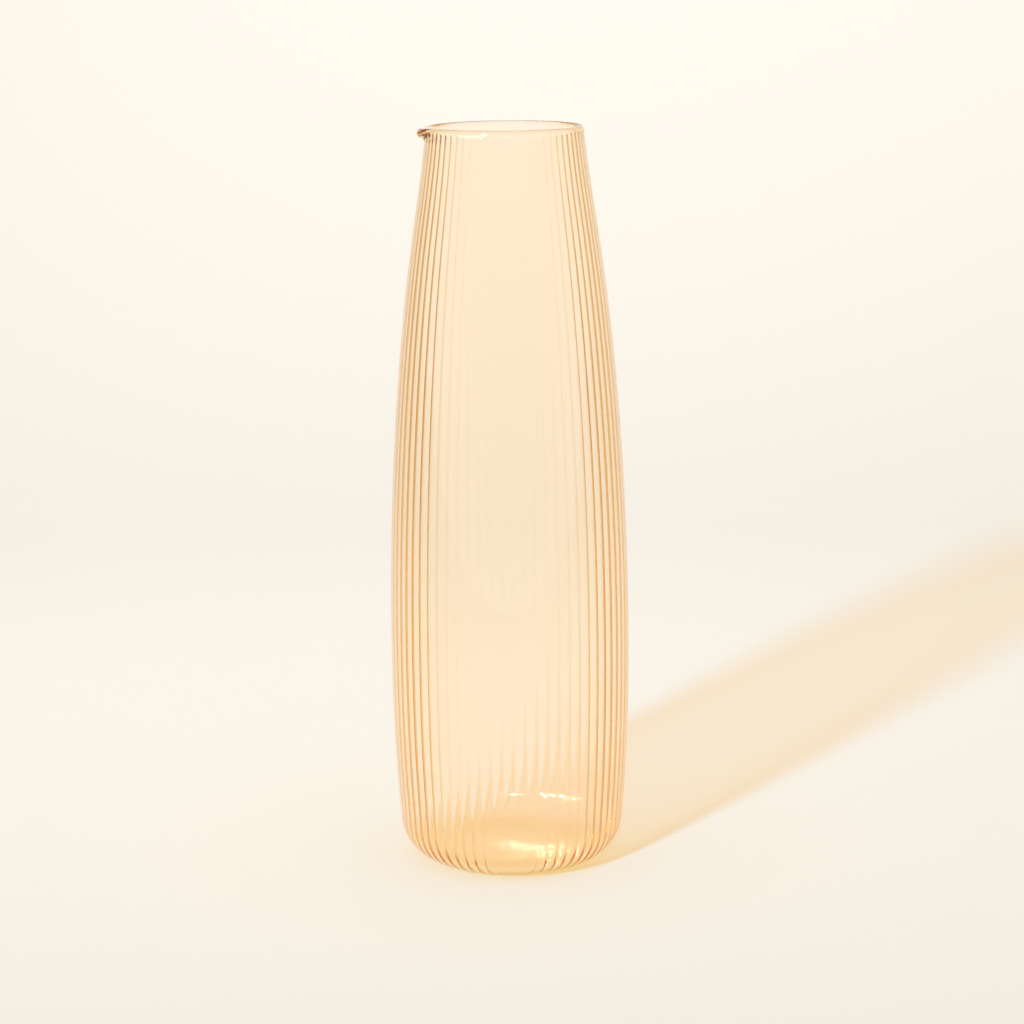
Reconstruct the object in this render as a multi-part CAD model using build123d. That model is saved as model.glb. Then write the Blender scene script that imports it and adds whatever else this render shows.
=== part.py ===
from build123d import *
import os
from math import cos, hypot, radians, sin

# Ribbed glass carafe-vase, smooth outside and fluted inside. The vessel is one continuous piece
# of glass, written as four closed solids, one for each zone of it, that meet face to face: base,
# ribbed_wall, rim and pouring_lip. Millimetres, +Z up. The origin is the centre of the foot, on
# the plane that the vase rests on, and the pouring lip points along -X.

# Driving dimensions
HEIGHT = 300.0  # foot to rim
RIM_RADIUS = 31.2  # outside of the mouth
WALL = 2.4  # glass thickness in the middle of a flute, measured level
FLOOR = 2.8  # height of the inner floor over the resting plane

# The smooth outer side, as radius and height, from above the foot to below the mouth
SIDE_POINTS = [(47.9, 48.0), (48.65, 78.0), (47.5, 146.0), (43.4, 206.0), (37.7, 254.0)]

# Bottom corner: an arc from the resting ring up into the wall
FOOT_RADIUS = 28.9
CORNER_RADIUS = 17.0
CORNER_SWEEP = 85.4  # degrees, so that it ends on the slope of the wall
CORNER_SECTIONS = 9

# Underside: a shallow kick-up inside the resting ring
KICK_RADIUS = 24.0
KICK_HEIGHT = 0.3

# Ribs: hollow flutes down the inside, with a sharp ridge between each pair
RIB_COUNT = 62
RIB_DEPTH = 0.42  # of a ridge at the widest part; it shrinks with the radius
RIB_FADE_FLOOR = 6.0  # the ridges rise to full depth over this height above the floor

# Mouth: a straight neck, where the ribs end below a smooth band
NECK_HEIGHT = 6.5
NECK_SLOPE = 0.115  # radius lost per height gained
BAND_HEIGHT = 1.6
RIB_END_HEIGHT = 1.4  # the ribs fade to nothing over this height, below the band
WALL_SECTIONS = 16

# Pouring lip: ten rib pitches of the neck, pulled outward and down
LIP_RIBS = 10
LIP_REACH = 2.8
LIP_DIP = 1.3
LIP_SWELL = 0.5  # the rim is thicker by this share in the middle of the lip
LIP_SECTIONS = 13

LIP_DIRECTION = 180.0  # degrees about +Z from +X
PITCH = 360.0 / RIB_COUNT
LIP_HALF_ANGLE = LIP_RIBS / 2 * PITCH
NECK_BOTTOM = HEIGHT - NECK_HEIGHT
BAND_BOTTOM = HEIGHT - BAND_HEIGHT
BODY_RADIUS = max(radius for radius, height in SIDE_POINTS)
NECK_RIB = RIB_DEPTH * RIM_RADIUS / BODY_RADIUS
NECK_WALL = WALL + NECK_RIB  # the flutes are cut into a band as thick as their ridges
NECK_HALF = NECK_WALL / 2 / hypot(1, NECK_SLOPE)  # half of it, square to the neck's slope
NECK_TOP = HEIGHT - NECK_HALF  # centre of the rim's rounding
OVERRUN = 5.0  # a cutting tool runs this far past what it cuts


def polar(radius, angle, height):
    """A point at an angle in degrees about the vase's axis."""
    return (radius * cos(radians(angle)), radius * sin(radians(angle)), height)


def meridian(radius, height):
    """A point of the outline, in the half plane that is turned about the axis."""
    return (radius, 0, height)


def corner_point(angle):
    """Radius and height of the outer corner, angle degrees up from the resting ring."""
    radius = FOOT_RADIUS + CORNER_RADIUS * sin(radians(angle))
    height = CORNER_RADIUS * (1 - cos(radians(angle)))
    return radius, height


def neck_radius(height):
    """Outer radius of the straight neck."""
    return RIM_RADIUS + NECK_SLOPE * (HEIGHT - height)


def side_curve():
    """The outer side, from the top of the bottom corner to the bottom of the neck."""
    neck = (neck_radius(NECK_BOTTOM), NECK_BOTTOM)
    points = [meridian(*point) for point in [corner_point(CORNER_SWEEP), *SIDE_POINTS, neck]]
    sweep = radians(CORNER_SWEEP)
    return Spline(*points, tangents=[meridian(cos(sweep), sin(sweep)), meridian(-NECK_SLOPE, 1)])


def rib_depth(radius):
    return RIB_DEPTH * radius / BODY_RADIUS


def ribbed_ring(radius, height, depth):
    """A closed ring of flutes at radius, whose ridges stand inward by depth."""
    tip = radius - depth
    flutes = []
    for rib in range(RIB_COUNT):
        angle = LIP_DIRECTION + rib * PITCH
        start = polar(tip, angle - PITCH / 2, height)
        middle = polar(radius, angle, height)
        end = polar(tip, angle + PITCH / 2, height)
        flutes.append(ThreePointArc(start, middle, end))
    return Wire(flutes)


def revolved(*edges, sweep=360.0):
    """A solid of revolution about the vase's axis, from a closed outline."""
    return revolve(make_face(edges), Axis.Z, revolution_arc=sweep)


def kick_up():
    """A ball whose top makes the shallow dome under the floor, inside the resting ring."""
    ball_radius = (KICK_RADIUS**2 + KICK_HEIGHT**2) / (2 * KICK_HEIGHT)
    return Pos(0, 0, KICK_HEIGHT - ball_radius) * Sphere(ball_radius)


def lip_wedge():
    """Everything of the neck that the pouring lip takes the place of."""
    reach = BODY_RADIUS * 2
    corners = [
        polar(0, 0, 0),
        polar(reach, LIP_DIRECTION - LIP_HALF_ANGLE, 0),
        polar(reach, LIP_DIRECTION + LIP_HALF_ANGLE, 0),
    ]
    outline = make_face(Polyline(*corners, close=True))
    return Pos(0, 0, NECK_BOTTOM) * extrude(outline, NECK_HEIGHT + OVERRUN)


def base():
    """Floor, kick-up, resting ring, and the rounded corner that the flutes run down into."""
    top_radius, top = corner_point(CORNER_SWEEP)
    outside = revolved(
        Line(meridian(0, 0), meridian(FOOT_RADIUS, 0)),
        ThreePointArc(
            meridian(FOOT_RADIUS, 0),
            meridian(*corner_point(CORNER_SWEEP / 2)),
            meridian(top_radius, top),
        ),
        Line(meridian(top_radius, top), meridian(0, top)),
        Line(meridian(0, top), meridian(0, 0)),
    )
    inner_corner = (top - FLOOR) / (1 - cos(radians(CORNER_SWEEP)))
    floor_radius = top_radius - WALL - inner_corner * sin(radians(CORNER_SWEEP))
    rings = []
    for step in range(CORNER_SECTIONS):
        angle = radians(CORNER_SWEEP * step / (CORNER_SECTIONS - 1))
        rise = inner_corner * (1 - cos(angle))
        radius = floor_radius + inner_corner * sin(angle)
        share = min(1.0, rise / RIB_FADE_FLOOR)
        rings.append(ribbed_ring(radius, FLOOR + rise, rib_depth(radius) * share))
    return outside - Solid.make_loft(rings) - kick_up()


def ribbed_wall():
    """The tapered wall, whose inner ribs end below the mouth's smooth band."""
    side = side_curve()
    foot, neck = side @ 0, side @ 1
    band = meridian(neck_radius(BAND_BOTTOM), BAND_BOTTOM)
    outside = revolved(
        Line(meridian(0, foot.Z), foot),
        side,
        Line(neck, band),
        Line(band, meridian(0, BAND_BOTTOM)),
        Line(meridian(0, BAND_BOTTOM), meridian(0, foot.Z)),
    )
    rings = []
    for step in range(WALL_SECTIONS):
        place = side @ (step / (WALL_SECTIONS - 1))
        rings.append(ribbed_ring(place.X - WALL, place.Z, rib_depth(place.X)))
    for share in (0.0, 0.25, 0.5, 0.75, 1.0):
        height = BAND_BOTTOM - RIB_END_HEIGHT * (1 - share)
        left = (1 + cos(radians(180 * share))) / 2
        inside = neck_radius(height) - NECK_WALL
        rings.append(ribbed_ring(inside + NECK_RIB * left, height, NECK_RIB * left))
    return outside - Solid.make_loft(rings) - lip_wedge()


def neck_outline(pull):
    """Outer and inner points of the neck's top, and the rim's tip, for a share of the lip's pull."""

    def centre(share):
        """The middle of the glass, at a share of the way up the neck."""
        height = NECK_BOTTOM + (NECK_TOP - NECK_BOTTOM) * share
        bend = share**2 * pull
        return neck_radius(height) - NECK_WALL / 2 + LIP_REACH * bend, height - LIP_DIP * bend

    def placed(share, out, along=0.0):
        """A point off the middle of the glass, in half thicknesses outward and upward."""
        half = NECK_HALF * (1 + LIP_SWELL * share**2 * pull)
        out, along = out * half, along * half
        step = 0.01
        low, high = centre(share - step), centre(share + step)
        length = hypot(high[0] - low[0], high[1] - low[1])
        run, rise = (high[0] - low[0]) / length, (high[1] - low[1]) / length
        radius, height = centre(share)
        return radius + rise * out + run * along, height - run * out + rise * along

    shares = (1 / 3, 2 / 3, 1.0)
    outer = [(neck_radius(NECK_BOTTOM), NECK_BOTTOM)]
    outer += [placed(share, 1.0) for share in shares]
    inner = [(neck_radius(NECK_BOTTOM) - NECK_WALL, NECK_BOTTOM)]
    inner += [placed(share, -1.0) for share in shares]
    return outer, inner, placed(1.0, 0.0, 1.0)


def rim():
    """The smooth band with its fire-polished mouth, all round except at the pouring lip."""
    outer, inner, tip = neck_outline(0.0)
    outside_bottom = meridian(neck_radius(BAND_BOTTOM), BAND_BOTTOM)
    inside_bottom = meridian(neck_radius(BAND_BOTTOM) - NECK_WALL, BAND_BOTTOM)
    band = revolved(
        Line(inside_bottom, outside_bottom),
        Line(outside_bottom, meridian(*outer[-1])),
        ThreePointArc(meridian(*outer[-1]), meridian(*tip), meridian(*inner[-1])),
        Line(meridian(*inner[-1]), inside_bottom),
        sweep=360 - 2 * LIP_HALF_ANGLE,
    )
    return Rot(0, 0, LIP_DIRECTION + LIP_HALF_ANGLE) * band


def lip_section(angle):
    """The neck's outline at an angle from the lip's middle, pulled outward and down."""
    pull = (1 + cos(radians(180 * angle / LIP_HALF_ANGLE))) / 2
    outer, inner, tip = neck_outline(pull)
    outer = [polar(radius, LIP_DIRECTION + angle, height) for radius, height in outer]
    inner = [polar(radius, LIP_DIRECTION + angle, height) for radius, height in inner]
    tip = polar(tip[0], LIP_DIRECTION + angle, tip[1])
    return Wire(
        [
            Line(inner[0], outer[0]),
            Spline(*outer),
            ThreePointArc(outer[-1], tip, inner[-1]),
            Spline(*reversed(inner)),
        ]
    )


def pouring_lip():
    """The stretch of neck pulled out into a spout, with its channel on the inside."""
    angles = [
        LIP_HALF_ANGLE * (2 * step / (LIP_SECTIONS - 1) - 1) for step in range(LIP_SECTIONS)
    ]
    return Solid.make_loft([lip_section(angle) for angle in angles])


nodes = {
    "base": base(),
    "ribbed_wall": ribbed_wall(),
    "rim": rim(),
    "pouring_lip": pouring_lip(),
}

os.makedirs("parts", exist_ok=True)
for name, shape in nodes.items():
    export_step(shape, f"parts/{name}.step")
    print(f"{name}: {shape.volume / 1000:.1f} cm3")
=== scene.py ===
from math import cos, hypot, pi, radians, sin, tan

import bpy
import numpy as np
from mathutils import Matrix, Vector


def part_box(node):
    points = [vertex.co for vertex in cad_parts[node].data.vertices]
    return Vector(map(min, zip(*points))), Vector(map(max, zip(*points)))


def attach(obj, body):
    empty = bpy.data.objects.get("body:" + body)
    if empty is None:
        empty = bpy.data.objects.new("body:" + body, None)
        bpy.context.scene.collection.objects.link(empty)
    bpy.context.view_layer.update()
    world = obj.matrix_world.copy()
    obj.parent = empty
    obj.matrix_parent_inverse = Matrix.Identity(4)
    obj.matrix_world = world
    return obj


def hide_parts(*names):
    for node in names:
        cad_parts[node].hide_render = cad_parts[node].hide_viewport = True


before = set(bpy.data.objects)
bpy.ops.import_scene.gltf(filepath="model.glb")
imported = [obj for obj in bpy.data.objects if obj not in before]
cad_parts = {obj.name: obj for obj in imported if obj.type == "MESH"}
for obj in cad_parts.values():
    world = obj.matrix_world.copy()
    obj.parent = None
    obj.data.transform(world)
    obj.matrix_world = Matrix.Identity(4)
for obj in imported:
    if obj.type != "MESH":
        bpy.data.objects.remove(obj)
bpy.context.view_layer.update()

# Ribbed amber glass vase with a pouring lip. All lengths are in metres, in the CAD model's frame:
# +Z up, the origin at the centre of the foot, the lip towards -X. The whole vessel is one closed
# glass mesh, because a seam inside clear glass would show, and it stands for all four CAD nodes.

# ---------------------------------------------------------------- sizes of the glass
base_low, base_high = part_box("base")
wall_low, wall_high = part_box("ribbed_wall")
rim_low, rim_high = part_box("rim")
lip_low, lip_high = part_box("pouring_lip")

HEIGHT = rim_high.z
NECK_BOTTOM = lip_low.z
BAND_BOTTOM = wall_high.z  # the flutes end here, below the smooth rim
FOOT_TOP = base_high.z  # end of the bottom corner's rounding

RIM_RADIUS = 0.0312  # outside of the mouth
WALL = 0.0024  # in the middle of a flute, measured level
FLOOR = 0.0028  # height of the inner floor
KICK_RADIUS = 0.0240  # of the shallow dome under the floor
KICK_HEIGHT = 0.0003
FOOT_RADIUS = 0.0289  # outside of the resting ring
CORNER_RADIUS = 0.0170  # of the rounding from the resting ring up into the wall
CORNER_SWEEP = radians(85.4)
NECK_SLOPE = 0.115  # radius lost per height gained
SIDE_POINTS = [  # outer radius, height
    (0.0479, 0.048),
    (0.04865, 0.078),
    (0.0475, 0.146),
    (0.0434, 0.206),
    (0.0377, 0.254),
]

RIB_COUNT = 62
RIB_DEPTH = 0.00042  # of a ridge at the widest part; it shrinks with the radius
BODY_RADIUS = max(radius for radius, height in SIDE_POINTS)
PITCH = 2 * pi / RIB_COUNT
NECK_RIB = RIB_DEPTH * RIM_RADIUS / BODY_RADIUS
NECK_WALL = WALL + NECK_RIB  # the flutes are cut into a band as thick as their ridges
NECK_HALF = NECK_WALL / 2 / hypot(1, NECK_SLOPE)  # half of it, square to the neck's slope
RIB_FADE_FLOOR = 0.006  # the ridges rise to full depth over this height above the floor
RIB_END_HEIGHT = 0.0014  # the flutes run out over this height below the rim
RIDGE_ROUNDING = 0.06  # share of the half pitch over which a ridge's edge is rounded

LIP_DIRECTION = pi
LIP_RIBS = 10  # pitches that the lip takes up
LIP_HALF_ANGLE = LIP_RIBS / 2 * PITCH
LIP_REACH = 0.0028
LIP_DIP = 0.0013
LIP_SWELL = 0.5  # the glass is thicker by this share in the middle of the lip
LIP_SMOOTH_PULL = 1 / 3  # share of the pull from which the lip's mouth has no flutes

# Rings and columns of the mesh
COLUMNS_PER_RIB = 10
MIDDLE_RADIUS = 0.002  # of the ring around each of the two flat fans
MIDDLE_ROWS = 6
CORNER_ROWS = 16
WALL_ROWS = 40
NECK_ROWS = 9
RIB_END_ROWS = 6
RIM_ROWS = 13
RING_SHOULDER = 0.0010  # width over which the kick-up's dome settles into the resting ring


# ---------------------------------------------------------------- outline of the vessel
def smooth_spline(heights, radii, first_slope, last_slope):
    """Cubic spline of radius over height, with its slopes given at both ends."""
    heights, radii = np.array(heights), np.array(radii)
    gaps = np.diff(heights)
    rises = np.diff(radii) / gaps
    count = len(heights)
    matrix = np.zeros((count, count))
    right = np.zeros(count)
    matrix[0, 0] = matrix[-1, -1] = 1
    right[0], right[-1] = first_slope, last_slope
    for i in range(1, count - 1):
        matrix[i, i - 1 : i + 2] = gaps[i], 2 * (gaps[i - 1] + gaps[i]), gaps[i - 1]
        right[i] = 3 * (gaps[i] * rises[i - 1] + gaps[i - 1] * rises[i])
    slopes = np.linalg.solve(matrix, right)

    def radius_at(height):
        i = int(np.clip(np.searchsorted(heights, height) - 1, 0, count - 2))
        t = (height - heights[i]) / gaps[i]
        start = (1 + 2 * t) * (1 - t) ** 2 * radii[i] + t * (1 - t) ** 2 * gaps[i] * slopes[i]
        end = t**2 * (3 - 2 * t) * radii[i + 1] + t**2 * (t - 1) * gaps[i] * slopes[i + 1]
        return start + end

    return radius_at


def corner_point(angle):
    """Radius and height of the outer bottom corner, at an angle up from the resting ring."""
    return FOOT_RADIUS + CORNER_RADIUS * sin(angle), CORNER_RADIUS * (1 - cos(angle))


def neck_radius(height):
    """Outer radius of the straight neck."""
    return RIM_RADIUS + NECK_SLOPE * (HEIGHT - height)


FOOT_TOP_RADIUS = corner_point(CORNER_SWEEP)[0]
side = [(FOOT_TOP_RADIUS, FOOT_TOP), *SIDE_POINTS, (neck_radius(NECK_BOTTOM), NECK_BOTTOM)]
side_radii, side_heights = zip(*side)
outer_radius = smooth_spline(side_heights, side_radii, 1 / tan(CORNER_SWEEP), -NECK_SLOPE)


def outside_rows():
    """Rows (radius, height) up the outside, from the middle of the underside."""
    rows = []
    for radius in np.linspace(MIDDLE_RADIUS, KICK_RADIUS, MIDDLE_ROWS):
        rows.append((radius, KICK_HEIGHT * (1 - (radius / KICK_RADIUS) ** 2)))
    rows.append((KICK_RADIUS + RING_SHOULDER, 0.0))
    rows += [corner_point(angle) for angle in np.linspace(0, CORNER_SWEEP, CORNER_ROWS)]
    for height in np.linspace(FOOT_TOP, NECK_BOTTOM, WALL_ROWS)[1:]:
        rows.append((outer_radius(height), height))
    return rows


def inside_rows():
    """Rows (radius, height, rib share) down the inside, from under the neck to the floor."""
    rows = []
    corner = (FOOT_TOP - FLOOR) / (1 - cos(CORNER_SWEEP))
    floor_edge = FOOT_TOP_RADIUS - WALL - corner * sin(CORNER_SWEEP)
    for height in np.linspace(NECK_BOTTOM, FOOT_TOP, WALL_ROWS):
        rows.append((outer_radius(height) - WALL, height, 1.0))
    for angle in np.linspace(CORNER_SWEEP, 0, CORNER_ROWS)[1:]:
        rise = corner * (1 - cos(angle))
        share = min(1.0, rise / RIB_FADE_FLOOR)
        rows.append((floor_edge + corner * sin(angle), FLOOR + rise, share))
    for radius in np.linspace(floor_edge, MIDDLE_RADIUS, MIDDLE_ROWS)[1:]:
        rows.append((radius, FLOOR, 0.0))
    return rows


# ---------------------------------------------------------------- the ribbed, lipped surface
def ridge(turn):
    """0 in the middle of a flute and 1 on the ridge between two flutes."""
    across = np.abs((turn / PITCH + 0.5) % 1 - 0.5) * 2
    rounded = np.sqrt((1 - across) ** 2 + RIDGE_ROUNDING**2) - RIDGE_ROUNDING
    return (1 - np.minimum(rounded / (1 - RIDGE_ROUNDING / 2), 1)) ** 2


def lip_pull(turn):
    """1 in the middle of the pouring lip, falling smoothly to 0 at both of its ends."""
    turn = (turn - LIP_DIRECTION + pi) % (2 * pi) - pi
    return np.where(np.abs(turn) < LIP_HALF_ANGLE, (1 + np.cos(pi * turn / LIP_HALF_ANGLE)) / 2, 0)


def column_turns():
    """Angles of the columns, closer together beside the ridges."""
    steps = np.arange(COLUMNS_PER_RIB) - COLUMNS_PER_RIB / 2
    within = 0.5 * np.sin(pi * steps / COLUMNS_PER_RIB)
    turns = (np.arange(RIB_COUNT)[:, None] + within[None, :]) * PITCH
    return turns.ravel() + LIP_DIRECTION


def neck_rows(turns):
    """Rings of the neck, lip and rounded rim, as (radius, height) arrays over the turns."""
    pull = lip_pull(turns)
    smooth = np.clip(pull / LIP_SMOOTH_PULL, 0, 1)
    length = HEIGHT - NECK_HALF - NECK_BOTTOM

    def centre(share):
        """The middle of the glass, at a share of the way up the neck."""
        height = NECK_BOTTOM + length * share
        bend = share**2 * pull
        return neck_radius(height) - NECK_WALL / 2 + LIP_REACH * bend, height - LIP_DIP * bend

    def placed(share, across, along=0.0):
        """A ring that is off the middle of the glass, in half thicknesses outward and upward."""
        half = NECK_HALF * (1 + LIP_SWELL * share**2 * pull)
        across, along = across * half, along * half
        step = 0.01  # share to each side over which the direction is taken
        low_radius, low_height = centre(share - step)
        high_radius, high_height = centre(share + step)
        long = np.hypot(high_radius - low_radius, high_height - low_height)
        out, up = (high_height - low_height) / long, (low_radius - high_radius) / long
        radius, height = centre(share)
        return radius + out * across - up * along, height + up * across + out * along

    fade_top = (BAND_BOTTOM - NECK_BOTTOM) / length
    fade_bottom = (BAND_BOTTOM - RIB_END_HEIGHT - NECK_BOTTOM) / length
    fade = np.linspace(fade_bottom, fade_top, RIB_END_ROWS)
    shares = sorted({*np.linspace(0, 1, NECK_ROWS)[1:], *fade})
    rings = [placed(share, 1.0) for share in shares]
    for angle in np.linspace(0, pi, RIM_ROWS)[1:-1]:
        rings.append(placed(1.0, cos(angle), sin(angle)))
    for share in reversed(shares):
        left = np.clip((fade_top - share) / (fade_top - fade_bottom), 0, 1)
        left = left**2 * (3 - 2 * left) * (1 - smooth * share)
        flute = NECK_RIB * (1 - ridge(turns - LIP_DIRECTION)) * left
        rings.append(placed(share, -1.0 + flute / NECK_HALF))
    return rings


def glass_rings(turns):
    """Every ring of the vessel, from the middle of its underside round to that of its floor."""
    flat = np.ones_like(turns)
    rings = [(radius * flat, height * flat) for radius, height in outside_rows()]
    rings += neck_rows(turns)
    rows = inside_rows()
    radii = np.array([row[0] for row in rows])
    heights = np.array([row[1] for row in rows])
    slope_r, slope_z = np.gradient(radii), np.gradient(heights)
    long = np.hypot(slope_r, slope_z)
    for i, (radius, height, share) in enumerate(rows):
        depth = RIB_DEPTH * radius / BODY_RADIUS * share * ridge(turns - LIP_DIRECTION)
        rings.append((radius + slope_z[i] / long[i] * depth, height - slope_r[i] / long[i] * depth))
    return rings


def build_glass():
    """The vessel's closed mesh: rings joined by quads, and a fan over each middle."""
    turns = column_turns()
    rings = glass_rings(turns)
    columns = len(turns)
    points = np.array(
        [
            np.stack([radius * np.cos(turns), radius * np.sin(turns), height * np.ones(columns)], 1)
            for radius, height in rings
        ]
    ).reshape(-1, 3)
    bottom, top = len(points), len(points) + 1
    middles = [(0, 0, KICK_HEIGHT), (0, 0, FLOOR)]
    points = np.concatenate([points, middles])
    here = np.arange(columns)
    after = (here + 1) % columns
    quads = []
    for ring in range(len(rings) - 1):
        low, high = ring * columns, (ring + 1) * columns
        quads.append(np.stack([low + here, low + after, high + after, high + here], 1))
    faces = np.concatenate(quads).tolist()
    last = (len(rings) - 1) * columns
    faces += [(bottom, int(b), int(a)) for a, b in zip(here, after)]
    faces += [(top, int(last + a), int(last + b)) for a, b in zip(here, after)]
    mesh = bpy.data.meshes.new("glass_vessel")
    mesh.from_pydata(points.tolist(), [], faces)
    mesh.shade_smooth()
    vessel = bpy.data.objects.new("glass_vessel", mesh)
    bpy.context.scene.collection.objects.link(vessel)
    return vessel


# ---------------------------------------------------------------- materials
GLASS_IOR = 1.5
GLASS_COLOUR = (0.965, 0.80, 0.28)
GLASS_DENSITY = 100.0  # absorption per metre is this, times what the colour lacks of white
FACE_TINT = (1.016, 1.0, 1.011)  # of what passes through a face
SHADOW_TINT = (1.0, 0.965, 0.93)  # of the light in the shadow, once per face
WAVES_PER_METRE = 60.0
WAVE_STRETCH = (1.0, 1.0, 0.06)  # the waves are drawn out along the height
WAVE_DEPTH = 0.00001
PAPER_COLOUR = (0.565, 0.552, 0.524)
PAPER_MOTTLE = 0.985  # tone of the darker grains
GRAINS_PER_METRE = 900.0
GRAIN_DEPTH = 0.00002
NOISE_DETAIL = 2.0  # octaves


def new_material(name):
    material = bpy.data.materials.new(name)
    material.use_nodes = True
    nodes = material.node_tree.nodes
    nodes.clear()
    return material, nodes, material.node_tree.links


def noise_bump(nodes, links, scale, stretch, depth):
    """Noise and the normal that it bumps, with scale in waves per metre and depth in metres."""
    place = nodes.new("ShaderNodeTexCoord")
    mapping = nodes.new("ShaderNodeMapping")
    mapping.inputs["Scale"].default_value = stretch
    links.new(place.outputs["Object"], mapping.inputs["Vector"])
    noise = nodes.new("ShaderNodeTexNoise")
    noise.inputs["Scale"].default_value = scale
    noise.inputs["Detail"].default_value = NOISE_DETAIL
    links.new(mapping.outputs["Vector"], noise.inputs["Vector"])
    bump = nodes.new("ShaderNodeBump")
    bump.inputs["Distance"].default_value = depth
    links.new(noise.outputs["Fac"], bump.inputs["Height"])
    return noise.outputs["Fac"], bump.outputs["Normal"]


def amber_glass():
    """Clear, faintly wavy glass that takes up blue and green light along its depth.

    Shadow rays and scattered light go straight through it, so that its shadow is coloured.
    """
    material, nodes, links = new_material("amber_glass")
    output = nodes.new("ShaderNodeOutputMaterial")
    mirrored = nodes.new("ShaderNodeFresnel")
    mirrored.inputs["IOR"].default_value = GLASS_IOR
    refraction = nodes.new("ShaderNodeBsdfRefraction")
    refraction.inputs["Color"].default_value = (*FACE_TINT, 1)
    refraction.inputs["IOR"].default_value = GLASS_IOR
    refraction.inputs["Roughness"].default_value = 0.0
    mirror = nodes.new("ShaderNodeBsdfGlossy")
    mirror.inputs["Color"].default_value = (1, 1, 1, 1)
    mirror.inputs["Roughness"].default_value = 0.0
    normal = noise_bump(nodes, links, WAVES_PER_METRE, WAVE_STRETCH, WAVE_DEPTH)[1]
    for shader in (mirrored, refraction, mirror):
        links.new(normal, shader.inputs["Normal"])
    glass = nodes.new("ShaderNodeMixShader")
    links.new(mirrored.outputs["Fac"], glass.inputs["Fac"])
    links.new(refraction.outputs["BSDF"], glass.inputs[1])
    links.new(mirror.outputs["BSDF"], glass.inputs[2])
    path = nodes.new("ShaderNodeLightPath")
    either = nodes.new("ShaderNodeMath")
    either.operation = "MAXIMUM"
    links.new(path.outputs["Is Shadow Ray"], either.inputs[0])
    links.new(path.outputs["Is Diffuse Ray"], either.inputs[1])
    clear = nodes.new("ShaderNodeBsdfTransparent")
    clear.inputs["Color"].default_value = (*SHADOW_TINT, 1)
    mix = nodes.new("ShaderNodeMixShader")
    links.new(either.outputs["Value"], mix.inputs["Fac"])
    links.new(glass.outputs["Shader"], mix.inputs[1])
    links.new(clear.outputs["BSDF"], mix.inputs[2])
    links.new(mix.outputs["Shader"], output.inputs["Surface"])
    depth = nodes.new("ShaderNodeVolumeAbsorption")
    depth.inputs["Color"].default_value = (*GLASS_COLOUR, 1)
    depth.inputs["Density"].default_value = GLASS_DENSITY
    links.new(depth.outputs["Volume"], output.inputs["Volume"])
    return material


def paper():
    """The plain pale sheet that the vase stands on, with a faint grain."""
    material, nodes, links = new_material("paper")
    output = nodes.new("ShaderNodeOutputMaterial")
    grain, normal = noise_bump(nodes, links, GRAINS_PER_METRE, (1, 1, 1), GRAIN_DEPTH)
    tone = nodes.new("ShaderNodeValToRGB")
    dark, light = tone.color_ramp.elements
    dark.color = (*[part * PAPER_MOTTLE for part in PAPER_COLOUR], 1)
    light.color = (*PAPER_COLOUR, 1)
    links.new(grain, tone.inputs["Fac"])
    shader = nodes.new("ShaderNodeBsdfDiffuse")
    links.new(tone.outputs["Color"], shader.inputs["Color"])
    links.new(normal, shader.inputs["Normal"])
    links.new(shader.outputs["BSDF"], output.inputs["Surface"])
    return material


# ---------------------------------------------------------------- stage, lights and camera
STAGE_FRONT = -0.58
STAGE_HALF_WIDTH = 6.0
STAGE_TOP = 5.0
COVE_START = 0.62
COVE_RADIUS = 3.00
COVE_ROWS = 33


def build_stage():
    """A sheet that lies flat under the vase and curves up behind it."""
    outline = [(STAGE_FRONT, 0.0), (COVE_START, 0.0)]
    for angle in np.linspace(0, pi / 2, COVE_ROWS)[1:]:
        outline.append((COVE_START + COVE_RADIUS * sin(angle), COVE_RADIUS * (1 - cos(angle))))
    outline.append((COVE_START + COVE_RADIUS, STAGE_TOP))
    points, faces = [], []
    for y, z in outline:
        points += [(-STAGE_HALF_WIDTH, y, z), (STAGE_HALF_WIDTH, y, z)]
    for i in range(len(outline) - 1):
        faces.append((2 * i, 2 * i + 1, 2 * i + 3, 2 * i + 2))
    mesh = bpy.data.meshes.new("paper_sweep")
    mesh.from_pydata(points, [], faces)
    mesh.shade_smooth()
    sweep = bpy.data.objects.new("paper_sweep", mesh)
    bpy.context.scene.collection.objects.link(sweep)
    sweep.data.materials.append(paper())


KEY_POWER = 115
KEY_SPREAD = radians(98)
KEY_SIZE = 0.24
KEY_COLOUR = (1.0, 0.97, 0.92)
KEY_AZIMUTH = radians(-33.7)  # from -Y towards +X
KEY_ELEVATION = radians(26.7)
KEY_ORIGIN = (0, 0, 0.12)  # the direction and the distances are taken from here
KEY_DISTANCE = 2.4
KEY_AIM = (1.40, 2.90, 2.20)  # behind the vase, so that the paper is lit evenly
KEY_SHINE = 0.4  # share of the light that the glass mirrors
SHINE_DISTANCE = 2.37  # that share comes from just in front of the rest of the lamp
ROOM_COLOUR = (1.0, 0.975, 0.94)
ROOM_BRIGHT = 0.98
ROOM_DIM = 0.82
ROOM_DIM_SIDE = (0.0, -0.8, -0.6)  # the room is dimmer in front, beyond the edge of the paper
ROOM_FADE = (0.3, 0.8)  # cosines from that side between which the room dims


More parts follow.
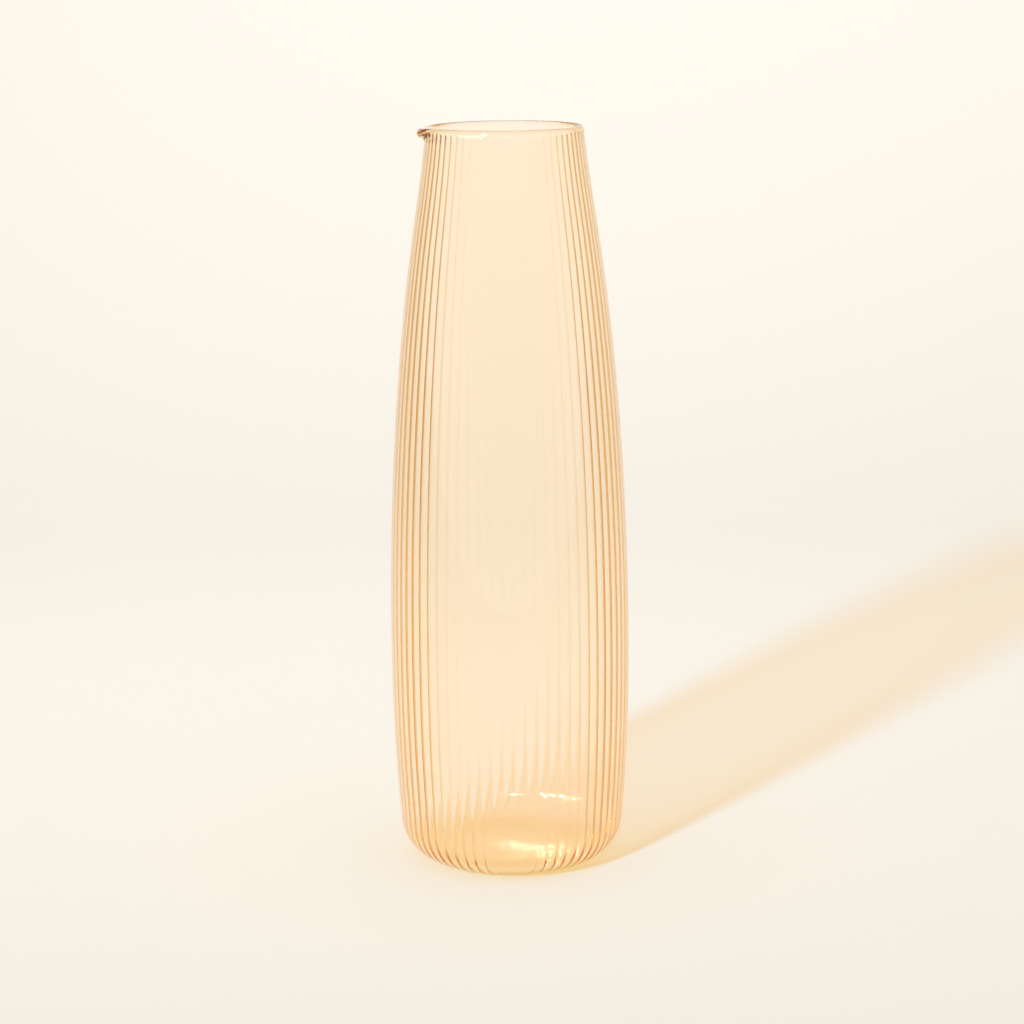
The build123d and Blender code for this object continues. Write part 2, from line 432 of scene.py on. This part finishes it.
def build_lights():
    """One soft round lamp in front and to the left, and an even pale room."""
    level = cos(KEY_ELEVATION)
    away = Vector((sin(KEY_AZIMUTH) * level, -cos(KEY_AZIMUTH) * level, sin(KEY_ELEVATION)))
    lamps = (("key", 1 - KEY_SHINE, KEY_DISTANCE), ("shine", KEY_SHINE, SHINE_DISTANCE))
    for name, share, distance in lamps:
        light = bpy.data.lights.new(name, "AREA")
        light.shape = "DISK"
        light.size = KEY_SIZE
        light.energy = KEY_POWER * share
        light.color = KEY_COLOUR
        light.spread = KEY_SPREAD
        lamp = bpy.data.objects.new(name, light)
        bpy.context.scene.collection.objects.link(lamp)
        lamp.visible_glossy = name == "shine"
        lamp.visible_transmission = name == "shine"
        lamp.location = Vector(KEY_ORIGIN) + away * distance
        facing = lamp.location - Vector(KEY_AIM)
        lamp.rotation_euler = facing.to_track_quat("Z", "Y").to_euler()

    world = bpy.data.worlds.new("studio")
    bpy.context.scene.world = world
    world.use_nodes = True
    nodes, links = world.node_tree.nodes, world.node_tree.links
    background = nodes["Background"]
    background.inputs["Color"].default_value = (*ROOM_COLOUR, 1)
    direction = nodes.new("ShaderNodeTexCoord")
    along = nodes.new("ShaderNodeVectorMath")
    along.operation = "DOT_PRODUCT"
    along.inputs[1].default_value = ROOM_DIM_SIDE
    links.new(direction.outputs["Generated"], along.inputs[0])
    strength = nodes.new("ShaderNodeMapRange")
    strength.inputs["From Min"].default_value = ROOM_FADE[0]
    strength.inputs["From Max"].default_value = ROOM_FADE[1]
    strength.inputs["To Min"].default_value = ROOM_BRIGHT
    strength.inputs["To Max"].default_value = ROOM_DIM
    links.new(along.outputs["Value"], strength.inputs["Value"])
    links.new(strength.outputs["Result"], background.inputs["Strength"])


CAMERA_DISTANCE = 1.100
CAMERA_HEIGHT = 0.375
CAMERA_PITCH = radians(11.86)
CAMERA_ROLL = radians(-0.60)
CAMERA_TURN = radians(-2.0)
CAMERA_SIDE = 0.00135
CAMERA_LENS = 97.2  # millimetres, as the sensor's width
CAMERA_SENSOR = 36.0


def build_camera():
    """The camera in front of the vase, a little above its mouth, looking slightly down."""
    data = bpy.data.cameras.new("camera")
    data.lens = CAMERA_LENS
    data.sensor_width = CAMERA_SENSOR
    camera = bpy.data.objects.new("camera", data)
    bpy.context.scene.collection.objects.link(camera)
    turn = Matrix.Rotation(CAMERA_TURN, 4, "Z")
    place = Matrix.Translation((CAMERA_SIDE, -CAMERA_DISTANCE, CAMERA_HEIGHT))
    tilt = Matrix.Rotation(pi / 2 - CAMERA_PITCH, 4, "X") @ Matrix.Rotation(CAMERA_ROLL, 4, "Z")
    camera.matrix_world = turn @ place @ tilt
    bpy.context.scene.camera = camera


# ---------------------------------------------------------------- the scene
GLASS_BOUNCES = 160  # light runs far inside the wall before it leaves
DIFFUSE_BOUNCES = 4
STRAIGHT_BOUNCES = 32


def set_look():
    """Plain colours, and enough bounces for the light that is caught inside the glass."""
    scene = bpy.context.scene
    scene.view_settings.view_transform = "Standard"
    scene.cycles.max_bounces = GLASS_BOUNCES
    scene.cycles.transmission_bounces = GLASS_BOUNCES
    scene.cycles.glossy_bounces = GLASS_BOUNCES
    scene.cycles.diffuse_bounces = DIFFUSE_BOUNCES
    scene.cycles.transparent_max_bounces = STRAIGHT_BOUNCES
    scene.cycles.use_denoising = True
    scene.cycles.sample_clamp_indirect = 0
    scene.cycles.caustics_reflective = False
    scene.cycles.caustics_refractive = False


vessel = build_glass()
vessel.data.materials.append(amber_glass())
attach(vessel, "root")
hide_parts("base", "ribbed_wall", "rim", "pouring_lip")
build_stage()
build_lights()
build_camera()
set_look()
